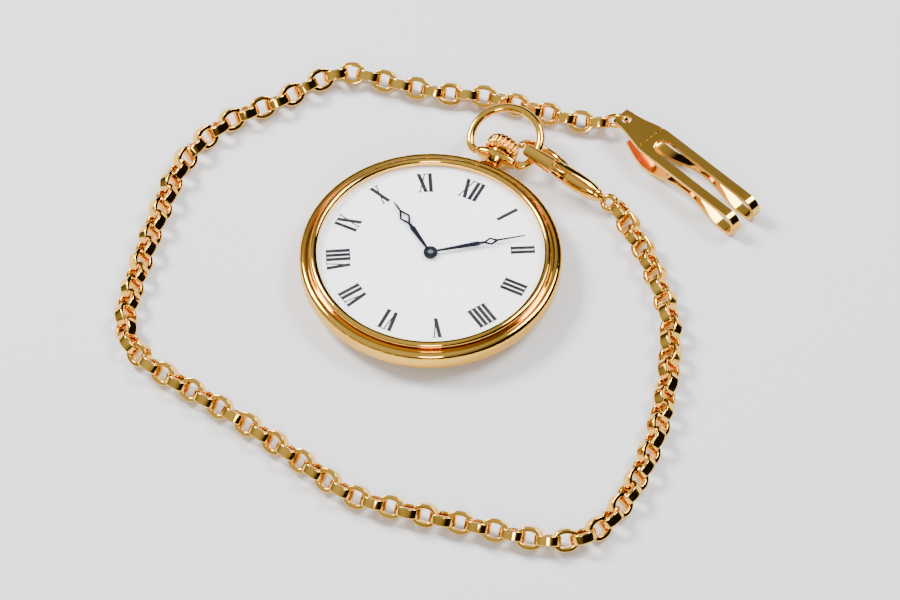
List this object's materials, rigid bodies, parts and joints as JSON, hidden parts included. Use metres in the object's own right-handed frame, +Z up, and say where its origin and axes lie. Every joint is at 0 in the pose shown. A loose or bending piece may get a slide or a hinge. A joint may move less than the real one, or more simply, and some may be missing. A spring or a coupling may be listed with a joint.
{
  "type": "open-faced pocket watch with chain",
  "caption": "Slim round open-faced pocket watch with swinging bow, fluted crown, two hands, swivel clasp, oval-link chain and folded pocket clip.",
  "frame": {"origin": "middle of the flat case back that the watch rests on", "axes": "+Z up through the dial and crystal, +Y towards twelve o'clock and the crown, +X towards three o'clock"},
  "size_m": [0.0989, 0.0915, 0.0071],
  "materials": {
    "polished_gold": "polished yellow gold",
    "gilt_brass": "gilt brass",
    "polished_steel": "polished steel",
    "nickel_plate": "nickel-plated, grained",
    "blued_steel": "blued steel",
    "white_enamel": "white enamel",
    "ruby": "polished synthetic ruby",
    "crystal_glass": "clear domed crystal"
  },
  "bodies": {
    "case": {"case_back": "polished_gold", "case_middle": "polished_gold", "bezel": "polished_gold", "crystal": "crystal_glass", "pendant": "polished_gold", "dial": "white_enamel", "mainplate": "nickel_plate", "click_spring": "polished_steel", "barrel_bridge": "nickel_plate", "train_bridge": "nickel_plate", "balance_cock": "nickel_plate", "pallet_bridge": "nickel_plate", "barrel_bridge_screw_1": "polished_steel", "barrel_bridge_screw_2": "polished_steel", "train_bridge_screw_1": "polished_steel", "train_bridge_screw_2": "polished_steel", "balance_cock_screw": "polished_steel", "hairspring": "blued_steel", "balance_jewel": "ruby", "regulator": "polished_steel", "chain": "polished_gold", "pocket_clip": "polished_gold"},
    "winding_pinion": {"winding_pinion": "polished_steel"},
    "crown": {"crown": "polished_gold", "winding_stem": "polished_steel"},
    "sliding_pinion": {"sliding_pinion": "polished_steel"},
    "setting_lever": {"setting_lever": "polished_steel"},
    "yoke": {"yoke": "polished_steel"},
    "crown_wheel": {"crown_wheel": "polished_steel"},
    "ratchet": {"ratchet_wheel": "polished_steel", "barrel_arbor": "polished_steel"},
    "click": {"click": "polished_steel"},
    "barrel": {"barrel_drum": "gilt_brass", "barrel_cover": "gilt_brass", "mainspring": "polished_steel"},
    "centre_wheel": {"centre_wheel": "gilt_brass"},
    "third_wheel": {"third_wheel": "gilt_brass"},
    "fourth_wheel": {"fourth_wheel": "gilt_brass"},
    "escape_wheel": {"escape_wheel": "polished_steel"},
    "pallet_fork": {"pallet_fork": "polished_steel"},
    "balance": {"balance_wheel": "gilt_brass", "balance_staff": "polished_steel"},
    "minute_hand": {"minute_hand": "blued_steel", "cannon_pinion": "polished_steel"},
    "hour_hand": {"hour_hand": "blued_steel", "hour_wheel": "gilt_brass"},
    "minute_wheel": {"minute_wheel": "gilt_brass"},
    "setting_wheel": {"setting_wheel": "polished_steel"},
    "bow": {"bow": "polished_gold", "clasp_body": "polished_gold", "clasp_pin": "polished_gold", "clasp_spring": "polished_steel"},
    "clasp_trigger": {"clasp_trigger": "polished_gold"},
    "clasp_swivel": {"clasp_swivel": "polished_gold"}
  },
  "joints": [
    {"name": "bow_swing", "type": "hinge", "parent": "case", "child": "bow", "pos_m": [0, 0.0246, 0.003], "axis": [1, 0, 0], "range_deg": [-112, 80]},
    {"name": "clasp_trigger_press", "type": "hinge", "parent": "bow", "child": "clasp_trigger", "pos_m": [0.01145, 0.02538, 0.00462], "axis": [-0.237, -0.6094, -0.7566], "range_deg": [0, 12], "stiffness_Nm_per_rad": 0.005},
    {"name": "clasp_swivel_turn", "type": "hinge", "parent": "bow", "child": "clasp_swivel", "pos_m": [0.01881, 0.02478, 0.00279], "axis": [0.9691, -0.0933, -0.2284], "continuous": true},
    {"name": "crown_turn", "type": "hinge", "parent": "case", "child": "winding_pinion", "pos_m": [0, 0.0155, 0.003], "axis": [0, 1, 0], "continuous": true},
    {"name": "crown_pull", "type": "slide", "parent": "winding_pinion", "child": "crown", "axis": [0, 1, 0], "range_m": [0, 0.0009]},
    {"name": "clutch_shift", "type": "slide", "parent": "winding_pinion", "child": "sliding_pinion", "axis": [0, -1, 0], "range_m": [0, 0.0005]},
    {"name": "setting_lever_rock", "type": "hinge", "parent": "case", "child": "setting_lever", "pos_m": [0.0034, 0.0169, 0.004], "axis": [0, 0, 1], "range_deg": [-20, 0]},
    {"name": "yoke_rock", "type": "hinge", "parent": "case", "child": "yoke", "pos_m": [-0.0049, 0.0112, 0.004], "axis": [0, 0, 1], "range_deg": [-9, 0]},
    {"name": "crown_wheel_turn", "type": "hinge", "parent": "case", "child": "crown_wheel", "pos_m": [0, 0.0114, 0.001], "axis": [0, 0, 1], "continuous": true},
    {"name": "ratchet_turn", "type": "hinge", "parent": "case", "child": "ratchet", "pos_m": [-0.00709, 0.00628, 0.001], "axis": [0, 0, 1], "continuous": true},
    {"name": "click_rock", "type": "hinge", "parent": "case", "child": "click", "pos_m": [-0.0136, 0.0023, 0.001], "axis": [0, 0, 1], "range_deg": [0, 12], "stiffness_Nm_per_rad": 0.00002},
    {"name": "hands_turn", "type": "hinge", "parent": "case", "child": "minute_hand", "pos_m": [0, 0, 0.005], "axis": [0, 0, -1], "continuous": true},
    {"name": "hour_turn", "type": "hinge", "parent": "case", "child": "hour_hand", "pos_m": [0, 0, 0.005], "axis": [0, 0, -1], "continuous": true},
    {"name": "minute_wheel_turn", "type": "hinge", "parent": "case", "child": "minute_wheel", "pos_m": [0, 0.0024, 0.004], "axis": [0, 0, -1], "continuous": true},
    {"name": "setting_wheel_turn", "type": "hinge", "parent": "case", "child": "setting_wheel", "pos_m": [0, 0.0078, 0.004], "axis": [0, 0, -1], "continuous": true},
    {"name": "escape_turn", "type": "hinge", "parent": "case", "child": "escape_wheel", "pos_m": [0.00697, -0.00344, 0.002], "axis": [0, 0, 1], "continuous": true},
    {"name": "fourth_turn", "type": "hinge", "parent": "case", "child": "fourth_wheel", "pos_m": [0.00766, 0.00046, 0.002], "axis": [0, 0, 1], "continuous": true},
    {"name": "third_turn", "type": "hinge", "parent": "case", "child": "third_wheel", "pos_m": [0.00441, 0.0037, 0.002], "axis": [0, 0, 1], "continuous": true},
    {"name": "centre_turn", "type": "hinge", "parent": "case", "child": "centre_wheel", "pos_m": [0, 0, 0.002], "axis": [0, 0, 1], "continuous": true},
    {"name": "barrel_turn", "type": "hinge", "parent": "case", "child": "barrel", "pos_m": [-0.00709, 0.00628, 0.002], "axis": [0, 0, 1], "continuous": true},
    {"name": "pallet_rock", "type": "hinge", "parent": "case", "child": "pallet_fork", "pos_m": [0.0057, -0.00566, 0.002], "axis": [0, 0, 1], "range_deg": [-5, 5]},
    {"name": "balance_swing", "type": "hinge", "parent": "case", "child": "balance", "pos_m": [0.00372, -0.00959, 0.002], "axis": [0, 0, 1], "range_deg": [-270, 270], "stiffness_Nm_per_rad": 0.0000015}
  ],
  "couplings": [
    {"joint": "clutch_shift", "follows": "crown_pull", "ratio": 0.55},
    {"joint": "setting_lever_rock", "follows": "crown_pull", "rad_per_m": -350.88},
    {"joint": "yoke_rock", "follows": "crown_pull", "rad_per_m": -152.78},
    {"joint": "crown_wheel_turn", "follows": "crown_turn", "ratio": 0.375},
    {"joint": "ratchet_turn", "follows": "crown_turn", "ratio": -0.31579},
    {"joint": "hour_turn", "follows": "hands_turn", "ratio": 0.083333},
    {"joint": "minute_wheel_turn", "follows": "hands_turn", "ratio": -0.33333},
    {"joint": "setting_wheel_turn", "follows": "hands_turn", "ratio": 0.16667},
    {"joint": "fourth_turn", "follows": "escape_turn", "ratio": -0.1},
    {"joint": "third_turn", "follows": "escape_turn", "ratio": 0.013333},
    {"joint": "centre_turn", "follows": "escape_turn", "ratio": -0.0016667},
    {"joint": "barrel_turn", "follows": "escape_turn", "ratio": 0.00026042}
  ]
}
